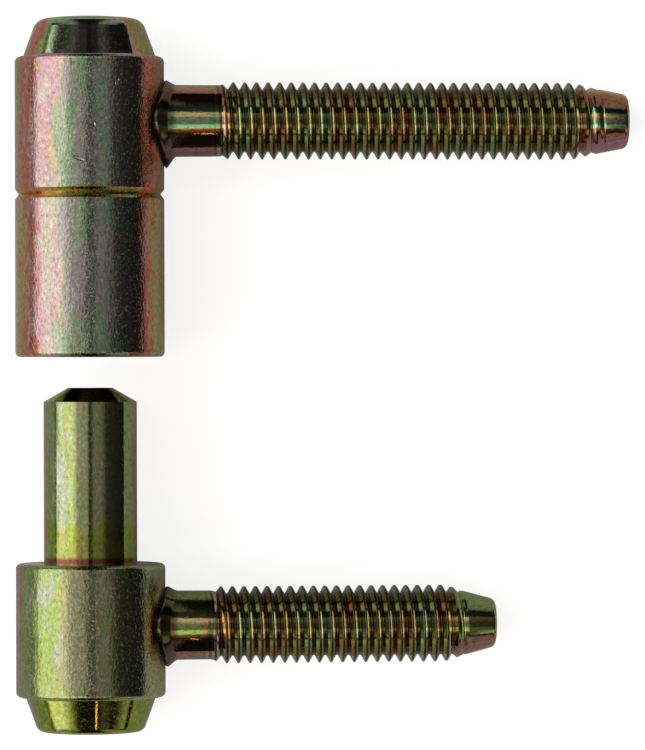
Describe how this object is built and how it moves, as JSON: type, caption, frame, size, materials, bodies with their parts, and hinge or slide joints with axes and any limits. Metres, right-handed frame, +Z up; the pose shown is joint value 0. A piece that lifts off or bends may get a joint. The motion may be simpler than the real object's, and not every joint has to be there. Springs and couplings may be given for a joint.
{
  "type": "drill-in hinge",
  "caption": "Two-part lift-off hinge for a door: a knuckle with a pin and a knuckle with a socket, each on a threaded stud, shown apart.",
  "frame": {"origin": "on the surface that both halves lie on, under the middle of the pair", "axes": "+X along the studs, away from the knuckles; +Y along the hinge axis, from the frame half to the leaf half; +Z up"},
  "size_m": [0.066, 0.0766, 0.016],
  "materials": {
    "frame_knuckle_zinc": "yellow chromated zinc, greenish",
    "frame_stud_zinc": "yellow chromated zinc on rolled thread",
    "hinge_pin_zinc": "yellow chromated zinc, greenish",
    "leaf_knuckle_zinc": "yellow chromated zinc, pinkish",
    "leaf_stud_zinc": "yellow chromated zinc on rolled thread",
    "leaf_plug_zinc": "yellow chromated zinc"
  },
  "bodies": {
    "frame_half": {"frame_knuckle": "frame_knuckle_zinc", "frame_stud": "frame_stud_zinc"},
    "pin": {"hinge_pin": "hinge_pin_zinc"},
    "leaf_half": {"leaf_knuckle": "leaf_knuckle_zinc", "leaf_stud": "leaf_stud_zinc", "leaf_plug": "leaf_plug_zinc"}
  },
  "joints": [
    {"name": "swing", "type": "hinge", "parent": "frame_half", "child": "pin", "pos_m": [-0.025, -0.02743, 0.008], "axis": [0, -1, 0], "continuous": true},
    {"name": "lift_off", "type": "slide", "parent": "pin", "child": "leaf_half", "axis": [0, 1, 0], "range_m": [-0.02205, 0]}
  ]
}
